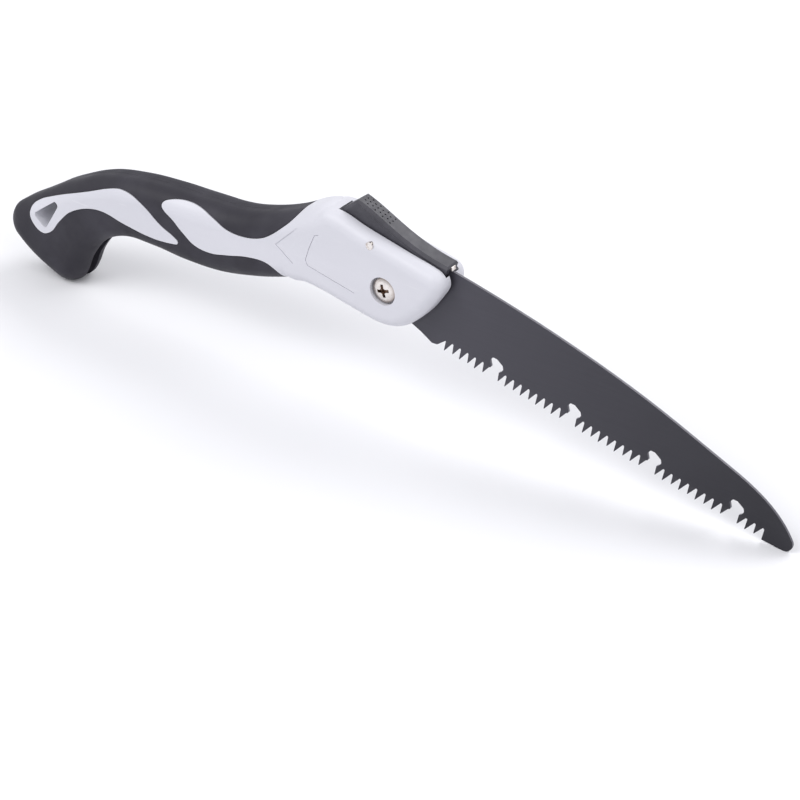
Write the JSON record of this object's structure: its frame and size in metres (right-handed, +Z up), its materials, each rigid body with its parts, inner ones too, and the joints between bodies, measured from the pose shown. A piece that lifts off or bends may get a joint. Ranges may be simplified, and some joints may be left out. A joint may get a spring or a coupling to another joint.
{
  "type": "folding pruning saw",
  "caption": "Folding pruning saw, open and locked: two-tone hooked handle with a hanging hole, pivoting coated blade with set teeth and wide gullets, and a rocking thumb lock lever.",
  "frame": {"origin": "centre of the bounding box's base, with the open saw standing on its hook and blade tip", "axes": "+X towards the blade tip, +Y across the thickness towards the nut side, +Z up towards the spine"},
  "size_m": [0.4398, 0.0242, 0.1002],
  "materials": {
    "grey_plastic": "fine matte moulded texture",
    "black_rubber": "matte soft-touch",
    "black_plastic": "satin moulded, pitted thumb end",
    "coated_blade_steel": "black low-friction coating",
    "nickel_steel": "bright nickel plated",
    "plain_steel": "brushed",
    "bronze": "sintered bronze",
    "nylon": "moulded nylon"
  },
  "bodies": {
    "handle": {"handle_core": "grey_plastic", "grip_overmold": "black_rubber", "hole_liner": "black_rubber", "pivot_screw": "nickel_steel", "pivot_nut": "nickel_steel", "nut_locking_ring": "nylon", "pivot_bush": "plain_steel", "near_bearing_washer": "bronze", "far_bearing_washer": "bronze", "lever_pin": "nickel_steel", "lever_spring": "plain_steel"},
    "blade": {"saw_blade": "coated_blade_steel"},
    "lever": {"lock_lever": "black_plastic", "lock_pawl": "plain_steel", "pawl_rivets": "nickel_steel"}
  },
  "joints": [
    {"name": "blade_fold", "type": "hinge", "parent": "handle", "child": "blade", "pos_m": [0.01441, 0, 0.06326], "axis": [0, 1, 0], "range_deg": [0, 152]},
    {"name": "lever_press", "type": "hinge", "parent": "handle", "child": "lever", "pos_m": [0.0068, 0, 0.08379], "axis": [0, -1, 0], "range_deg": [0, 8], "stiffness_Nm_per_rad": 0.6, "springref_deg": -20.05, "deforming": ["lever_spring"]}
  ]
}
